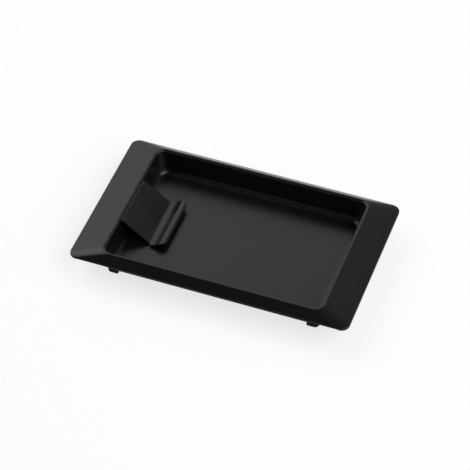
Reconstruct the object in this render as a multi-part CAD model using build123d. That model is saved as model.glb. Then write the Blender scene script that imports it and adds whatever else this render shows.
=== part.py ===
from build123d import *
from math import acos, atan2, cos, degrees, hypot, radians, sin, tan
import os

# A bill tray with a sprung paper clip, in millimetres.
# +X runs along the tray, away from the clip. +Y runs to the back and +Z is up.
# The origin is on the table, under the middle of the tray.

# ------------------------------------------------------------------ driving dimensions

# Rim: a picture frame that slopes up from its outer edge to a rounded ridge
RIM_LENGTH = 183.0
RIM_WIDTH = 112.0
RIM_CORNER = 5.5
RIM_EDGE_Z = 15.1
RIM_EDGE_ROUND = 0.5
WALL = 1.8
CREST_Z = 21.2
CREST_LAND = 1.8
CREST_OUTER_ROUND = 1.6
CREST_INNER_ROUND = 1.3

# Basin inside the ridge, with drafted walls
OPENING_LENGTH = 142.1
OPENING_WIDTH = 96.7
OPENING_SHIFT = 0.45
OPENING_CORNER = 5.0
WALL_DRAFT = 8.0
UNDERSIDE_Z = 2.8
FLOOR_CORNER = 7.0
FLOOR_ROUND = 3.5

# Corner feet: a stub moulded on the tray and a rubber pad pegged into it
FOOT_SIZE = 7.5
FOOT_INSET_X = 0.3
FOOT_INSET_Y = 1.9
FOOT_OUTER_ROUND = 3.0
FOOT_SOLE_ROUND = 0.4
STUB_TOP_Z = 9.0
PAD_THICKNESS = 1.5
PEG_RADIUS = 1.5
PEG_LENGTH = 1.2
PEG_CLEARANCE = 0.03
PEG_END_GAP = 0.2

# Clip lever: a plate that slopes down from its hinge and turns up in a lip
PLATE_HALF_WIDTH = 19.0
PLATE_THICKNESS = 1.5
PLATE_SLOPE = 38.0
VALLEY_GAP = 0.3
VALLEY_ROUND = 3.2
SCOOP_START = 8.0
SCOOP_ROUND = 11.0
LIP_RISE = 38.0
HUMP_ROUND = 5.2
HUMP_FALL = 4.0
TIP_ROUND = 2.3
LIP_FALL = 60.0
LIP_HALF_WIDTH = 20.7
LIP_SHOULDER_SETBACK = 1.2
LIP_SHOULDER_LENGTH = 1.2
LIP_CORNER = 5.0
LIP_END_ROUND = 0.6

# Hinge: a steel pin through lever knuckles and tray lugs, just inside the left wall
HUB_RADIUS = 1.7
HINGE_INSET = 0.2
HINGE_DROP = 1.1
PIN_RADIUS = 0.6
PIN_RECESS = 0.3
PIN_CHAMFER = 0.15
PIN_RUNNING_CLEARANCE = 0.05
PIN_HUB_CLEARANCE = 0.1
KNUCKLE_WIDTH = 6.1
LUG_WIDTH = 4.0
LUG_SIDE_GAP = 0.3
LUG_WALL = 0.5
LUG_RUNNING_GAP = 0.15
LUG_ROOT_DEPTH = 0.7
LUG_WEB_ANGLE = 30.0
LUG_MOUTH_WIDTH = 1.0
LUG_MOUTH_ANGLE = 60.0

# Slot in the left wall, behind the hinge
SLOT_SIDE_GAP = 0.6
SILL_GAP = 0.5
CREST_GAP = 0.18

# Torsion spring round the middle of the pin
WIRE_RADIUS = 0.175
COIL_RADIUS = 0.95
COIL_PITCH = 0.42
COIL_TURNS = 8
COIL_POCKET_GAP = 0.1
COIL_POCKET_HALF_WIDTH = 3.2
HOOD_START = -30.0
HOOD_END = 140.0
LEVER_LEG_REACH = 4.2
WALL_LEG_LENGTH = 6.0
WALL_LEG_GAP = 0.06

# Tail of the lever, under the ridge, that the spring pushes up
TAIL_REACH = 4.6
TAIL_THICKNESS = 0.95
TAIL_ARM_WIDTH = 3.6
TAIL_ARM_INSET = 0.2
TAIL_PAD_LENGTH = 2.2
TAIL_PAD_OVERHANG = 2.2
TAIL_LEG_GAP = 0.05
TAIL_NOTCH_GAP = 0.4
TAIL_NOTCH_DEPTH = 1.1

# ------------------------------------------------------------------ worked-out places

EDGE_TOLERANCE = 0.001
LAND_FILL = 0.98
RIM_TOP_Z = RIM_EDGE_Z + WALL
FLOOR_Z = UNDERSIDE_Z + WALL
DRAFT_RUN = tan(radians(WALL_DRAFT))
WALL_RUN = WALL / cos(radians(WALL_DRAFT))


def wall_inset(z):
    """How far the basin wall has come in from the opening at height z."""
    return (CREST_Z - z) * DRAFT_RUN


def left_wall_x(z, outside=0.0):
    """X of the left wall's inner face, or of its outer face with outside=WALL_RUN."""
    return OPENING_SHIFT - OPENING_LENGTH / 2 + wall_inset(z) - outside


HINGE_Z = CREST_Z - WALL - HINGE_DROP
HINGE_X = left_wall_x(HINGE_Z) + HINGE_INSET
FOOT_OUTER_X = OPENING_LENGTH / 2 - wall_inset(UNDERSIDE_Z) + WALL_RUN - FOOT_INSET_X
FOOT_OUTER_Y = OPENING_WIDTH / 2 - wall_inset(UNDERSIDE_Z) + WALL_RUN - FOOT_INSET_Y
SILL_Z = HINGE_Z - HUB_RADIUS - SILL_GAP
SLOT_HALF_WIDTH = PLATE_HALF_WIDTH + SLOT_SIDE_GAP
LUG_HOLE_RADIUS = PIN_RADIUS + PIN_RUNNING_CLEARANCE
LUG_RADIUS = LUG_HOLE_RADIUS + LUG_WALL
LUG_OUTER_Y = PLATE_HALF_WIDTH - KNUCKLE_WIDTH - LUG_SIDE_GAP
LUG_INNER_Y = LUG_OUTER_Y - LUG_WIDTH
RELIEF_OUTER_Y = LUG_OUTER_Y + LUG_SIDE_GAP
RELIEF_INNER_Y = LUG_INNER_Y - LUG_SIDE_GAP
RELIEF_RADIUS = LUG_RADIUS + LUG_RUNNING_GAP
COIL_POCKET_RADIUS = COIL_RADIUS + WIRE_RADIUS + COIL_POCKET_GAP
TAIL_BOTTOM_Z = HINGE_Z - COIL_RADIUS + WIRE_RADIUS + TAIL_LEG_GAP
TAIL_BACK_X = HINGE_X - TAIL_REACH
TAIL_ARM_INNER_Y = -(COIL_POCKET_HALF_WIDTH + TAIL_ARM_INSET)
TAIL_ARM_OUTER_Y = TAIL_ARM_INNER_Y - TAIL_ARM_WIDTH
TAIL_PAD_INNER_Y = TAIL_ARM_INNER_Y + TAIL_PAD_OVERHANG


def rounded_slab(length, width, corner, bottom, top):
    """Upright block with a rounded rectangle for its plan."""
    plan = Pos(0, 0, bottom) * RectangleRounded(length, width, corner)
    return extrude(plan, top - bottom, dir=(0, 0, 1))


def frustum(lower, upper):
    """Solid between two rounded rectangles: each a length, width, corner, height and X place."""
    sections = []
    for length, width, corner, z, x in (lower, upper):
        sections.append(Pos(x, 0, z) * RectangleRounded(length, width, corner))
    return loft(sections, ruled=True)


def basin_section(z, outside):
    """Rounded rectangle of the basin at height z, grown by outside on every side."""
    depth_share = (CREST_Z - z) / (CREST_Z - FLOOR_Z)
    corner = OPENING_CORNER + (FLOOR_CORNER - OPENING_CORNER) * depth_share
    grow = 2 * (outside - wall_inset(z))
    return OPENING_LENGTH + grow, OPENING_WIDTH + grow, corner + outside, z, OPENING_SHIFT


def on_xz(shape_2d, y):
    """Put a profile drawn in X and Z at a place along Y."""
    return Plane(origin=(0, y, 0), x_dir=(1, 0, 0), z_dir=(0, -1, 0)) * shape_2d


def bar(profile, y_from, y_to):
    """Run an X-Z profile along Y from y_from to y_to."""
    return extrude(on_xz(profile, y_from), y_to - y_from, dir=(0, 1, 0))


def hinge_disc(radius):
    return Pos(HINGE_X, HINGE_Z) * Circle(radius)


def hinge_point(radius, angle):
    """Point at an angle round the hinge, from +X towards +Z."""
    return Vector(HINGE_X + radius * cos(radians(angle)), HINGE_Z + radius * sin(radians(angle)))


def block(x_from, x_to, y_from, y_to, z_from, z_to):
    size = (x_to - x_from, y_to - y_from, z_to - z_from)
    middle = ((x_from + x_to) / 2, (y_from + y_to) / 2, (z_from + z_to) / 2)
    return Pos(*middle) * Box(*size)


def edges_at(solid, z):
    return [edge for edge in solid.edges() if abs(edge.center().Z - z) < EDGE_TOLERANCE]


# ------------------------------------------------------------------ feet


def foot_block(bottom, top, sole_round=0.0):
    """Foot at the +X +Y corner, with only its outer upright edge rounded."""
    solid = block(
        FOOT_OUTER_X - FOOT_SIZE, FOOT_OUTER_X, FOOT_OUTER_Y - FOOT_SIZE, FOOT_OUTER_Y, bottom, top
    )
    outer_edge = solid.edges().filter_by(Axis.Z).sort_by(lambda edge: edge.center().X + edge.center().Y)[-1]
    solid = fillet(outer_edge, FOOT_OUTER_ROUND)
    if sole_round:
        solid = fillet(solid.faces().sort_by(Axis.Z)[0].edges(), sole_round)
    return solid


def foot_peg(radius, length):
    middle = (FOOT_OUTER_X - FOOT_SIZE / 2, FOOT_OUTER_Y - FOOT_SIZE / 2, PAD_THICKNESS)
    return extrude(Pos(*middle) * Circle(radius), length, dir=(0, 0, 1))


def corner_copies(solid):
    """The four mirror copies of a solid made at the +X +Y corner, by name."""
    back_left = mirror(solid, Plane.YZ)
    return {
        "back_right": solid,
        "back_left": back_left,
        "front_right": mirror(solid, Plane.XZ),
        "front_left": mirror(back_left, Plane.XZ),
    }


def feet():
    pad = foot_block(0.0, PAD_THICKNESS, FOOT_SOLE_ROUND) + foot_peg(PEG_RADIUS, PEG_LENGTH)
    return {f"foot_{corner}": solid for corner, solid in corner_copies(pad).items()}


# ------------------------------------------------------------------ tray


def crest_rounds():
    """Outer and inner round of the ridge, kept small enough for both to fit on its land."""
    band_run = (RIM_WIDTH - OPENING_WIDTH) / 2 - CREST_LAND
    outer_turn = atan2(CREST_Z - RIM_TOP_Z, band_run)
    inner_turn = radians(90 - WALL_DRAFT)
    taken = CREST_OUTER_ROUND * tan(outer_turn / 2) + CREST_INNER_ROUND * tan(inner_turn / 2)
    share = min(1.0, CREST_LAND * LAND_FILL / taken)
    return CREST_OUTER_ROUND * share, CREST_INNER_ROUND * share


def rim():
    """The sloping frame: a shell of one wall thickness, open where the basin hangs in it."""
    crest_length = OPENING_LENGTH + 2 * CREST_LAND
    crest_width = OPENING_WIDTH + 2 * CREST_LAND
    crest = (crest_length, crest_width, OPENING_CORNER + CREST_LAND)
    outline = (RIM_LENGTH, RIM_WIDTH, RIM_CORNER)
    top = frustum((*outline, RIM_TOP_Z, 0), (*crest, CREST_Z, OPENING_SHIFT))
    top = fillet(top.faces().sort_by(Axis.Z)[-1].edges(), crest_rounds()[0])
    edge = rounded_slab(*outline, RIM_EDGE_Z, RIM_TOP_Z)
    hollow = frustum((*outline, RIM_EDGE_Z, 0), (*crest, CREST_Z - WALL, OPENING_SHIFT))
    shell = top + edge - hollow
    for height in (RIM_EDGE_Z, RIM_TOP_Z):
        shell = fillet(edges_at(shell, height), RIM_EDGE_ROUND)
    return shell


def basin_outside():
    """The tub's outside, with the slot for the hinge cut in its left wall."""
    solid = frustum(basin_section(UNDERSIDE_Z, WALL_RUN), basin_section(CREST_Z - WALL, WALL_RUN))
    solid = fillet(solid.faces().sort_by(Axis.Z)[0].edges(), FLOOR_ROUND + WALL)
    slot_back = left_wall_x(SILL_Z, WALL_RUN) - WALL
    slot = block(slot_back, HINGE_X, -SLOT_HALF_WIDTH, SLOT_HALF_WIDTH, SILL_Z, CREST_Z)
    return solid - slot


def basin_cavity():
    above = CREST_Z + WALL
    solid = frustum(basin_section(FLOOR_Z, 0.0), basin_section(above, 0.0))
    return fillet(solid.faces().sort_by(Axis.Z)[0].edges(), FLOOR_ROUND)


def opening_loop(tray):
    """Edges where the ridge's flat land meets the basin wall."""
    land = tray.faces().filter_by(Plane.XY).sort_by(Axis.Z)[-1]
    return land.inner_wires()[0].edges()


def lug_profile():
    """A hook the pin snaps into, and a web from it down to the wall below the sill."""
    root_z = SILL_Z - LUG_ROOT_DEPTH
    eye = hinge_disc(LUG_RADIUS)
    web = Polygon(
        (left_wall_x(root_z, WALL_RUN), root_z),
        (left_wall_x(root_z), root_z),
        hinge_point(LUG_RADIUS, LUG_WEB_ANGLE - 90),
        (HINGE_X, HINGE_Z),
        (HINGE_X - LUG_RADIUS, HINGE_Z),
        align=None,
    )
    mouth = Pos(LUG_RADIUS, 0) * Rectangle(2 * LUG_RADIUS, LUG_MOUTH_WIDTH)
    mouth = Pos(HINGE_X, HINGE_Z) * Rot(0, 0, LUG_MOUTH_ANGLE) * mouth
    return eye + web - hinge_disc(LUG_HOLE_RADIUS) - mouth


def barrel_clearance():
    """Room for the hinge barrel under the ridge, along the slot."""
    return bar(hinge_disc(HUB_RADIUS + CREST_GAP), -SLOT_HALF_WIDTH, SLOT_HALF_WIDTH)


def tail_notch():
    """Room for the lever's tail in the sill when the clip is open."""
    return block(
        TAIL_BACK_X,
        HINGE_X,
        TAIL_ARM_OUTER_Y - TAIL_NOTCH_GAP,
        TAIL_PAD_INNER_Y + TAIL_NOTCH_GAP,
        SILL_Z - TAIL_NOTCH_DEPTH,
        SILL_Z,
    )


def tray():
    body = rim() + basin_outside()
    for stub in corner_copies(foot_block(PAD_THICKNESS, STUB_TOP_Z)).values():
        body += stub
    body -= basin_cavity()
    body = fillet(opening_loop(body), crest_rounds()[1])
    body -= barrel_clearance()
    body -= tail_notch()
    body += bar(lug_profile(), LUG_INNER_Y, LUG_OUTER_Y)
    body += bar(lug_profile(), -LUG_OUTER_Y, -LUG_INNER_Y)
    peg_hole = foot_peg(PEG_RADIUS + PEG_CLEARANCE, PEG_LENGTH + PEG_END_GAP)
    for hole in corner_copies(peg_hole).values():
        body -= hole
    return body


# ------------------------------------------------------------------ clip lever

VALLEY_Z = FLOOR_Z + VALLEY_GAP + PLATE_THICKNESS + VALLEY_ROUND
VALLEY_X = HINGE_X + (
    HUB_RADIUS + VALLEY_ROUND + (HINGE_Z - VALLEY_Z) * cos(radians(PLATE_SLOPE))
) / sin(radians(PLATE_SLOPE))


def above_arc(centre, radius, slope):
    """Point of a cupped arc, where the surface climbs at slope."""
    return centre + Vector(sin(radians(slope)), -cos(radians(slope))) * radius


def below_arc(centre, radius, slope):
    """Point of a humped arc, where the surface climbs at slope."""
    return centre + Vector(-sin(radians(slope)), cos(radians(slope))) * radius


VALLEY_CENTRE = Vector(VALLEY_X, VALLEY_Z)
SCOOP_CENTRE = above_arc(VALLEY_CENTRE, VALLEY_ROUND - SCOOP_ROUND, SCOOP_START)
HUMP_CENTRE = above_arc(SCOOP_CENTRE, SCOOP_ROUND + HUMP_ROUND, LIP_RISE)
TIP_CENTRE = below_arc(HUMP_CENTRE, HUMP_ROUND - TIP_ROUND, -HUMP_FALL)


def plate_side(depth):
    """Corner points and arcs of the clip's top side, or of the side at a depth below it."""
    normal = Vector(sin(radians(PLATE_SLOPE)), cos(radians(PLATE_SLOPE)))
    root = Vector(HINGE_X, HINGE_Z) + normal * (HUB_RADIUS - depth)
    bends = (
        (above_arc, VALLEY_CENTRE, VALLEY_ROUND + depth, -PLATE_SLOPE, SCOOP_START),
        (above_arc, SCOOP_CENTRE, SCOOP_ROUND + depth, SCOOP_START, LIP_RISE),
        (below_arc, HUMP_CENTRE, HUMP_ROUND - depth, LIP_RISE, -HUMP_FALL),
        (below_arc, TIP_CENTRE, TIP_ROUND - depth, -HUMP_FALL, -LIP_FALL),
    )
    arcs = []
    for point, centre, radius, start, end in bends:
        slopes = (start, (start + end) / 2, end)
        arcs.append([point(centre, radius, slope) for slope in slopes])
    return root, arcs


def plate_profile():
    """Sloping plate, valley, scoop and rolled-over lip, all of one thickness."""
    edges = []
    roots = []
    tips = []
    for depth in (0.0, PLATE_THICKNESS):
        root, arcs = plate_side(depth)
        edges.append(Line(root, arcs[0][0]))
        edges += [ThreePointArc(*arc) for arc in arcs]
        roots.append(root)
        tips.append(arcs[-1][-1])
    edges += [Line(*roots), Line(*tips)]
    face = make_face(edges)
    end = face.vertices().filter_by(lambda v: min((Vector(v) - tip).length for tip in tips) < EDGE_TOLERANCE)
    return fillet(end, LIP_END_ROUND)


def plate_plan():
    """Outline of the clip from above: parallel sides, then a slightly wider lip."""
    back = HINGE_X - HUB_RADIUS
    shoulder = above_arc(VALLEY_CENTRE, VALLEY_ROUND, -PLATE_SLOPE).X + LIP_SHOULDER_SETBACK
    tip = below_arc(TIP_CENTRE, TIP_ROUND, -LIP_FALL).X
    half = [
        (back, PLATE_HALF_WIDTH),
        (shoulder, PLATE_HALF_WIDTH),
        (shoulder + LIP_SHOULDER_LENGTH, LIP_HALF_WIDTH),
        (tip, LIP_HALF_WIDTH),
    ]
    outline = half + [(x, -y) for x, y in reversed(half)]
    plan = Polygon(*outline, align=None)
    return fillet(plan.vertices().sort_by(Axis.X)[-2:], LIP_CORNER)


def hood_profile():
    """The part of the barrel that covers the top and the plate side of the pin."""
    angles = (HOOD_START, (HOOD_START + HOOD_END) / 2, HOOD_END)
    arc = [hinge_point(HUB_RADIUS, angle) for angle in angles]
    centre = Vector(HINGE_X, HINGE_Z)
    return make_face([Line(centre, arc[0]), ThreePointArc(*arc), Line(arc[-1], centre)])


def tail():
    top = TAIL_BOTTOM_Z + TAIL_THICKNESS
    arm = block(TAIL_BACK_X, HINGE_X, TAIL_ARM_OUTER_Y, TAIL_ARM_INNER_Y, TAIL_BOTTOM_Z, top)
    pad_front = TAIL_BACK_X + TAIL_PAD_LENGTH
    pad = block(TAIL_BACK_X, pad_front, TAIL_ARM_OUTER_Y, TAIL_PAD_INNER_Y, TAIL_BOTTOM_Z, top)
    return arm + pad


def clip_lever():
    plate = bar(plate_profile(), -LIP_HALF_WIDTH, LIP_HALF_WIDTH)
    plate &= extrude(plate_plan(), CREST_Z, dir=(0, 0, 1))
    lever = plate + bar(hood_profile(), -PLATE_HALF_WIDTH, PLATE_HALF_WIDTH)
    for side in (-1, 1):
        hub_ends = sorted((side * COIL_POCKET_HALF_WIDTH, side * RELIEF_INNER_Y))
        knuckle_ends = sorted((side * RELIEF_OUTER_Y, side * PLATE_HALF_WIDTH))
        relief_ends = sorted((side * RELIEF_INNER_Y, side * RELIEF_OUTER_Y))
        lever += bar(hinge_disc(HUB_RADIUS), *hub_ends)
        lever += bar(hinge_disc(HUB_RADIUS), *knuckle_ends)
        lever -= bar(hinge_disc(RELIEF_RADIUS), *relief_ends)
    lever += tail()
    lever -= bar(hinge_disc(COIL_POCKET_RADIUS), -COIL_POCKET_HALF_WIDTH, COIL_POCKET_HALF_WIDTH)
    lever -= bar(hinge_disc(PIN_RADIUS + PIN_HUB_CLEARANCE), -RELIEF_OUTER_Y, RELIEF_OUTER_Y)
    lever -= bar(hinge_disc(PIN_RADIUS), -PLATE_HALF_WIDTH, PLATE_HALF_WIDTH)
    return lever


# ------------------------------------------------------------------ hinge pin and spring


def hinge_pin():
    half = PLATE_HALF_WIDTH - PIN_RECESS
    pin = bar(hinge_disc(PIN_RADIUS), -half, half)
    return chamfer(pin.edges().filter_by(GeomType.CIRCLE), PIN_CHAMFER)


def leaving_angle():
    """Where round the coil the wall leg leaves it, to just clear the sill's outer corner."""
    corner_x = left_wall_x(SILL_Z, WALL_RUN) - HINGE_X
    corner_z = SILL_Z - HINGE_Z
    clear = COIL_RADIUS - WIRE_RADIUS - WALL_LEG_GAP
    return degrees(atan2(corner_z, corner_x) - acos(clear / hypot(corner_x, corner_z)))


def torsion_spring():
    """Close coil round the pin, with one leg under the lever's tail and one on the wall."""
    last_turn = (leaving_angle() + 90) % 360
    coil_length = COIL_PITCH * (COIL_TURNS + last_turn / 360)
    start = Plane(origin=(HINGE_X, -coil_length / 2, HINGE_Z), x_dir=(0, 0, -1), z_dir=(0, 1, 0))
    coil = start * Helix(COIL_PITCH, coil_length, COIL_RADIUS, lefthand=True)
    lever_leg = Line(coil @ 0 - (coil % 0) * LEVER_LEG_REACH, coil @ 0)
    wall_leg = Line(coil @ 1, coil @ 1 + (coil % 1) * WALL_LEG_LENGTH)
    path = Wire([lever_leg, coil, wall_leg])
    section = Plane(origin=path @ 0, z_dir=path % 0) * Circle(WIRE_RADIUS)
    return sweep(section, path=path)


def parts():
    nodes = {"tray": tray(), "clip_lever": clip_lever(), "hinge_pin": hinge_pin()}
    nodes["torsion_spring"] = torsion_spring()
    nodes.update(feet())
    return nodes


if __name__ == "__main__":
    os.makedirs("parts", exist_ok=True)
    for name, shape in parts().items():
        export_step(shape, f"parts/{name}.step")
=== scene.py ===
import math

import bpy
from mathutils import Matrix, Vector

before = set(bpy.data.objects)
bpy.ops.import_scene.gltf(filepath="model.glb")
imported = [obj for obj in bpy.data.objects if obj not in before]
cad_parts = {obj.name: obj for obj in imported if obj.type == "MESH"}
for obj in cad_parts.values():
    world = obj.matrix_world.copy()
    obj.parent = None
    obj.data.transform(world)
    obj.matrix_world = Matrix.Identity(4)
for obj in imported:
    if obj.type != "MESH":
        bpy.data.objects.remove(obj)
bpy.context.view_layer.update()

# ------------------------------------------------------------------ sizes and places

# Camera: where the photograph was taken from. Angles in degrees, lengths in metres, and the lens
# as a focal length in the photograph's own pixels.
CAMERA_AZIMUTH = 19.81
CAMERA_ELEVATION = 46.25
CAMERA_ROLL = 0.225
CAMERA_EYE = (0.32904, -0.91583, 1.02971)
CAMERA_REACH = 10.0
FOCAL_PIXELS = 2232.2
PHOTO_WIDTH = 470.0
SENSOR_WIDTH = 36.0

# Black plastic. Sizes are how wide one grain of a noise is, and a band is where a noise is cut off.
PLASTIC_COLOUR = (0.004, 0.004, 0.0042)
PLASTIC_LIGHTENING = 1.3
PLASTIC_IOR = 1.5
CLOUD_SIZE = 0.035
PLASTIC_ROUGHNESS = (0.285, 0.32)
SATIN_SIZE = 0.012
POLISH = 0.03
TOUCH_SIZE = 0.015
TOUCH_AMOUNT = (0.4, 1.0)
SCUFF_ROUGHNESS = 0.09
SCUFF_TURNS = (20.0, -48.0)
SCUFF_STRETCH = (0.025, 1.0, 0.3)
SCUFF_WIDTH = 0.0005
SCUFF_BAND = (0.66, 0.74)
SCUFF_PATCH_SIZE = 0.03
SCUFF_PATCH_BAND = (0.45, 0.6)
FLOW_SIZE = 0.02
FLOW_STRETCH = (1.0, 2.5, 1.0)
FLOW_DEPTH = 0.00006
FLOW_STRENGTH = 0.2
GRAIN_SIZE = 0.0006
GRAIN_DEPTH = 0.000009
GRAIN_STRENGTH = 0.6

# Where the plastic is worn: an axis, where the wear starts and where it is full
RIDGE_TOP = ("Z", 0.0195, 0.0211)
BASIN_FLOOR = ("Z", 0.0056, 0.0048)
LIP = ("X", -0.0470, -0.0425)
PLATE = ("X", -0.0680, -0.0600)

# Blackened steel
PIN_COLOUR = (0.055, 0.055, 0.06)
PIN_ROUGHNESS = (0.32, 0.48)
PIN_STRETCH = (1.0, 0.05, 1.0)
SPRING_COLOUR = (0.05, 0.05, 0.055)
SPRING_ROUGHNESS = (0.36, 0.52)
SPRING_STRETCH = (1.0, 1.0, 1.0)
DRAWN_LINE_WIDTH = 0.0004
DRAWN_LINE_DEPTH = 0.000004
DRAWN_LINE_STRENGTH = 0.5

# Rubber
RUBBER_COLOUR = (0.005, 0.005, 0.005)
DUST_COLOUR = (0.011, 0.0105, 0.01)
DUST_SIZE = 0.003
DUST_BAND = (0.45, 0.75)
RUBBER_ROUGHNESS = (0.68, 0.8)
RUBBER_SPECULAR = 0.12
RUBBER_GRAIN_SIZE = 0.00035
RUBBER_GRAIN_DEPTH = 0.00002
RUBBER_GRAIN_STRENGTH = 0.5

# Table: its glow is what the camera sees; reflections of it fade from back to front, a painted
# shade of the tray on the table in front
TABLE_SIZE = 3.2
TABLE_ALBEDO = 0.35
TABLE_GLOW = 0.745
TABLE_GLOW_IN_PAINTED_SHADE = 0.12
TABLE_PAINTED_SHADE_FADE = ("Y", -0.045, 0.045)

# World: an even fill, and a white backdrop that fades out above the horizon
FILL = 0.04
BACKDROP_FADE = ("Z", 0.16, 0.30)

# Lamps: name, width and height, azimuth, elevation and radiance, all as far from the tray
LAMP_DISTANCE = 1.8
LAMPS = (
    ("back left", (2.0, 1.3), 122, 38, 0.94),
    ("left", (1.4, 1.4), 170, 42, 1.4),
    ("back right", (1.0, 0.8), 60, 40, 0.2),
    ("right", (2.2, 1.6), -10, 45, 2.1),
)

# ------------------------------------------------------------------ node helpers


def material(name):
    """A new node material, its tree and its shader."""
    made = bpy.data.materials.new(name)
    made.use_nodes = True
    return made, made.node_tree, made.node_tree.nodes["Principled BSDF"]


def object_space(tree, scale=(1.0, 1.0, 1.0), turn=0.0):
    """Object coordinates, turned about Z by turn degrees and stretched by scale."""
    place = tree.nodes.new("ShaderNodeTexCoord")
    turned = tree.nodes.new("ShaderNodeMapping")
    turned.inputs["Rotation"].default_value = (0.0, 0.0, math.radians(turn))
    stretched = tree.nodes.new("ShaderNodeMapping")
    stretched.inputs["Scale"].default_value = scale
    tree.links.new(place.outputs["Object"], turned.inputs["Vector"])
    tree.links.new(turned.outputs["Vector"], stretched.inputs["Vector"])
    return stretched.outputs["Vector"]


def along(tree, axis, start, end, values=(0.0, 1.0), coordinates="Object"):
    """The first value before start and the second after end, along one axis."""
    place = tree.nodes.new("ShaderNodeTexCoord")
    split = tree.nodes.new("ShaderNodeSeparateXYZ")
    tree.links.new(place.outputs[coordinates], split.inputs["Vector"])
    return spread(tree, split.outputs[axis], values, (start, end))


def combine(tree, operation, first, second):
    """One maths node on two values, each an output or a number."""
    made = tree.nodes.new("ShaderNodeMath")
    made.operation = operation
    for socket, value in zip(made.inputs, (first, second)):
        if isinstance(value, float):
            socket.default_value = value
        else:
            tree.links.new(value, socket)
    return made.outputs[0]


def noise(tree, vector, size, detail, roughness=0.55):
    """Noise whose grains are about size metres across."""
    made = tree.nodes.new("ShaderNodeTexNoise")
    made.inputs["Scale"].default_value = 1.0 / size
    made.inputs["Detail"].default_value = detail
    made.inputs["Roughness"].default_value = roughness
    tree.links.new(vector, made.inputs["Vector"])
    return made.outputs["Fac"]


def spread(tree, value, onto, band=(0.3, 0.7)):
    """Maps the part of a value that is inside band onto another range."""
    made = tree.nodes.new("ShaderNodeMapRange")
    made.inputs["From Min"].default_value, made.inputs["From Max"].default_value = band
    made.inputs["To Min"].default_value, made.inputs["To Max"].default_value = onto
    tree.links.new(value, made.inputs["Value"])
    return made.outputs["Result"]


def bump(tree, height, depth, strength, normal=None):
    """A bump of a height map, on top of another normal if there is one."""
    made = tree.nodes.new("ShaderNodeBump")
    made.inputs["Strength"].default_value = strength
    made.inputs["Distance"].default_value = depth
    tree.links.new(height, made.inputs["Height"])
    if normal is not None:
        tree.links.new(normal, made.inputs["Normal"])
    return made.outputs["Normal"]


def mix_colour(tree, factor, first, second):
    """A blend of two colours by a factor."""
    made = tree.nodes.new("ShaderNodeMix")
    made.data_type = "RGBA"
    sockets = [s for s in made.inputs if s.type == "RGBA"]
    sockets[0].default_value = (*first, 1.0)
    sockets[1].default_value = (*second, 1.0)
    tree.links.new(factor, made.inputs[0])
    return [s for s in made.outputs if s.type == "RGBA"][0]


# ------------------------------------------------------------------ materials


def scuffs(tree, turn, where):
    """How much rougher hairline scuffs in one direction make the plastic, in patches."""
    hairs = noise(tree, object_space(tree, SCUFF_STRETCH, turn), SCUFF_WIDTH, 1.0)
    hairs = spread(tree, hairs, (0.0, SCUFF_ROUGHNESS), SCUFF_BAND)
    patches = noise(tree, object_space(tree, turn=turn), SCUFF_PATCH_SIZE, 1.0)
    patches = spread(tree, patches, (0.0, 1.0), SCUFF_PATCH_BAND)
    return combine(
        tree, "MULTIPLY", combine(tree, "MULTIPLY", hairs, patches), along(tree, *where)
    )


def black_plastic(name, handled, scuffed):
    """Satin black moulded plastic: fine grain, flow marks, polish from hands and hairline scuffs.

    handled and scuffed are an axis, where the wear starts and where it is full, in metres."""
    made, tree, shader = material(name)
    space = object_space(tree)
    shader.inputs["IOR"].default_value = PLASTIC_IOR

    cloud = spread(tree, noise(tree, space, CLOUD_SIZE, 2.0), (0.0, 1.0))
    lighter = tuple(c * PLASTIC_LIGHTENING for c in PLASTIC_COLOUR)
    colour = mix_colour(tree, cloud, PLASTIC_COLOUR, lighter)
    tree.links.new(colour, shader.inputs["Base Color"])

    rough = spread(tree, noise(tree, space, SATIN_SIZE, 2.0), PLASTIC_ROUGHNESS)
    touch = spread(tree, noise(tree, space, TOUCH_SIZE, 1.0), TOUCH_AMOUNT)
    touch = combine(tree, "MULTIPLY", along(tree, *handled), touch)
    rough = combine(tree, "SUBTRACT", rough, combine(tree, "MULTIPLY", touch, POLISH))
    for turn in SCUFF_TURNS:
        rough = combine(tree, "ADD", rough, scuffs(tree, turn, scuffed))
    tree.links.new(rough, shader.inputs["Roughness"])

    flow = noise(tree, object_space(tree, FLOW_STRETCH), FLOW_SIZE, 1.0)
    normal = bump(tree, flow, FLOW_DEPTH, FLOW_STRENGTH)
    grain = noise(tree, space, GRAIN_SIZE, 2.0)
    normal = bump(tree, grain, GRAIN_DEPTH, GRAIN_STRENGTH, normal)
    tree.links.new(normal, shader.inputs["Normal"])
    return made


def steel(name, colour, roughness, stretch):
    """Blackened drawn steel, with fine lines along the wire."""
    made, tree, shader = material(name)
    shader.inputs["Metallic"].default_value = 1.0
    shader.inputs["Base Color"].default_value = (*colour, 1.0)
    lines = noise(tree, object_space(tree, stretch), DRAWN_LINE_WIDTH, 3.0)
    tree.links.new(spread(tree, lines, roughness), shader.inputs["Roughness"])
    normal = bump(tree, lines, DRAWN_LINE_DEPTH, DRAWN_LINE_STRENGTH)
    tree.links.new(normal, shader.inputs["Normal"])
    return made


def rubber(name):
    """Matte black rubber with a fine moulded texture and a little dust."""
    made, tree, shader = material(name)
    space = object_space(tree)
    dust = noise(tree, space, DUST_SIZE, 4.0)
    dusty = spread(tree, dust, (0.0, 1.0), DUST_BAND)
    colour = mix_colour(tree, dusty, RUBBER_COLOUR, DUST_COLOUR)
    tree.links.new(colour, shader.inputs["Base Color"])
    shader.inputs["Specular IOR Level"].default_value = RUBBER_SPECULAR
    tree.links.new(spread(tree, dust, RUBBER_ROUGHNESS), shader.inputs["Roughness"])
    grain = noise(tree, space, RUBBER_GRAIN_SIZE, 2.0)
    normal = bump(tree, grain, RUBBER_GRAIN_DEPTH, RUBBER_GRAIN_STRENGTH)
    tree.links.new(normal, shader.inputs["Normal"])
    return made


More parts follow.
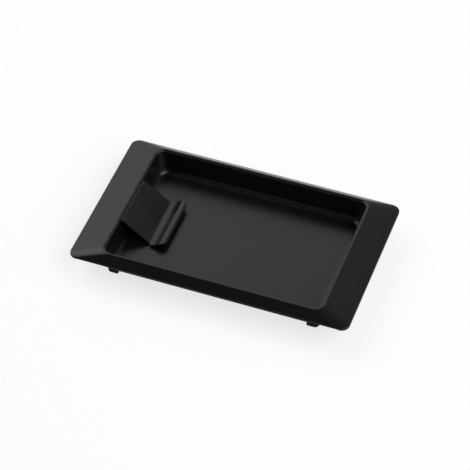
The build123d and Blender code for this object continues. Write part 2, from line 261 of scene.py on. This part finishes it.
foot_rubber = rubber("foot rubber")
MATERIALS = {
    "tray": black_plastic("tray plastic", RIDGE_TOP, BASIN_FLOOR),
    "clip_lever": black_plastic("clip plastic", LIP, PLATE),
    "hinge_pin": steel("pin steel", PIN_COLOUR, PIN_ROUGHNESS, PIN_STRETCH),
    "torsion_spring": steel("spring steel", SPRING_COLOUR, SPRING_ROUGHNESS, SPRING_STRETCH),
    "foot_front_left": foot_rubber,
    "foot_front_right": foot_rubber,
    "foot_back_left": foot_rubber,
    "foot_back_right": foot_rubber,
}

for name, made in MATERIALS.items():
    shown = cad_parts[name]
    shown.data.materials.clear()
    shown.data.materials.append(made)

# ------------------------------------------------------------------ room


def square(name, size):
    """A flat square on the ground, centred under the tray."""
    mesh = bpy.data.meshes.new(name)
    h = size / 2
    mesh.from_pydata([(-h, -h, 0), (h, -h, 0), (h, h, 0), (-h, h, 0)], [], [(0, 1, 2, 3)])
    made = bpy.data.objects.new(name, mesh)
    bpy.context.scene.collection.objects.link(made)
    return made


def white_table():
    """White to the camera and in reflections, but still shaded by the tray.

    No lamp stands before the tray, so the glow seen in reflections is faded in front of it: a
    painted shade, dimmer there than behind it."""
    made = bpy.data.materials.new("white table")
    made.use_nodes = True
    tree = made.node_tree
    tree.nodes.clear()
    path = tree.nodes.new("ShaderNodeLightPath").outputs
    reflected = combine(tree, "MAXIMUM", path["Is Glossy Ray"], path["Is Transmission Ray"])
    # painted shade: the glow seen in reflections fades from full behind the tray to dim in front of
    # it
    shade = along(tree, *TABLE_PAINTED_SHADE_FADE, (TABLE_GLOW_IN_PAINTED_SHADE, TABLE_GLOW))
    seen = combine(tree, "MULTIPLY", path["Is Camera Ray"], TABLE_GLOW)
    seen = combine(tree, "ADD", seen, combine(tree, "MULTIPLY", reflected, shade))
    emission = tree.nodes.new("ShaderNodeEmission")
    tree.links.new(seen, emission.inputs["Strength"])
    diffuse = tree.nodes.new("ShaderNodeBsdfDiffuse")
    diffuse.inputs["Color"].default_value = (TABLE_ALBEDO, TABLE_ALBEDO, TABLE_ALBEDO, 1.0)
    both = tree.nodes.new("ShaderNodeAddShader")
    tree.links.new(diffuse.outputs[0], both.inputs[0])
    tree.links.new(emission.outputs[0], both.inputs[1])
    surface = tree.nodes.new("ShaderNodeOutputMaterial").inputs["Surface"]
    tree.links.new(both.outputs[0], surface)
    return made


def softbox(name, size, azimuth, elevation, radiance):
    """An area light, placed by azimuth from +X towards +Y and elevation, that faces the tray."""
    data = bpy.data.lights.new(name, "AREA")
    data.shape = "RECTANGLE"
    data.size, data.size_y = size
    data.energy = radiance * math.pi * size[0] * size[1]
    made = bpy.data.objects.new(name, data)
    a, e = math.radians(azimuth), math.radians(elevation)
    direction = Vector((math.cos(a) * math.cos(e), math.sin(a) * math.cos(e), math.sin(e)))
    made.location = direction * LAMP_DISTANCE
    made.rotation_euler = (-direction).to_track_quat("-Z", "Y").to_euler()
    bpy.context.scene.collection.objects.link(made)


def studio_world():
    """Dim fill from all round, with a white backdrop low down for the camera and reflections."""
    made = bpy.data.worlds.new("studio")
    made.use_nodes = True
    tree = made.node_tree
    path = tree.nodes.new("ShaderNodeLightPath").outputs
    seen = combine(tree, "MAXIMUM", path["Is Camera Ray"], path["Is Glossy Ray"])
    seen = combine(tree, "MAXIMUM", seen, path["Is Transmission Ray"])
    backdrop = along(tree, *BACKDROP_FADE, (1.0 - FILL, 0.0), "Generated")
    strength = combine(tree, "ADD", combine(tree, "MULTIPLY", seen, backdrop), FILL)
    background = tree.nodes["Background"]
    background.inputs["Color"].default_value = (1.0, 1.0, 1.0, 1.0)
    tree.links.new(strength, background.inputs["Strength"])
    return made


floor = square("floor", TABLE_SIZE)
floor.data.materials.append(white_table())

for lamp in LAMPS:
    softbox(*lamp)

bpy.context.scene.world = studio_world()

# ------------------------------------------------------------------ camera


def looking_down(azimuth, elevation, roll):
    """The rotation of a camera that looks at the tray from azimuth, measured from -Y towards +X."""
    a, e, r = (math.radians(angle) for angle in (azimuth, elevation, roll))
    forward = Vector((-math.sin(a) * math.cos(e), math.cos(a) * math.cos(e), -math.sin(e)))
    right = Vector((math.cos(a), math.sin(a), 0.0))
    up = right.cross(forward)
    rolled_right = right * math.cos(r) + up * math.sin(r)
    rolled_up = up * math.cos(r) - right * math.sin(r)
    return Matrix((rolled_right, rolled_up, -forward)).transposed().to_4x4()


lens = bpy.data.cameras.new("camera")
lens.lens = FOCAL_PIXELS / PHOTO_WIDTH * SENSOR_WIDTH
lens.sensor_width = SENSOR_WIDTH
lens.clip_end = CAMERA_REACH
camera = bpy.data.objects.new("camera", lens)
turned = looking_down(CAMERA_AZIMUTH, CAMERA_ELEVATION, CAMERA_ROLL)
camera.matrix_world = Matrix.Translation(CAMERA_EYE) @ turned
bpy.context.scene.collection.objects.link(camera)
bpy.context.scene.camera = camera
bpy.context.scene.view_settings.view_transform = "Standard"
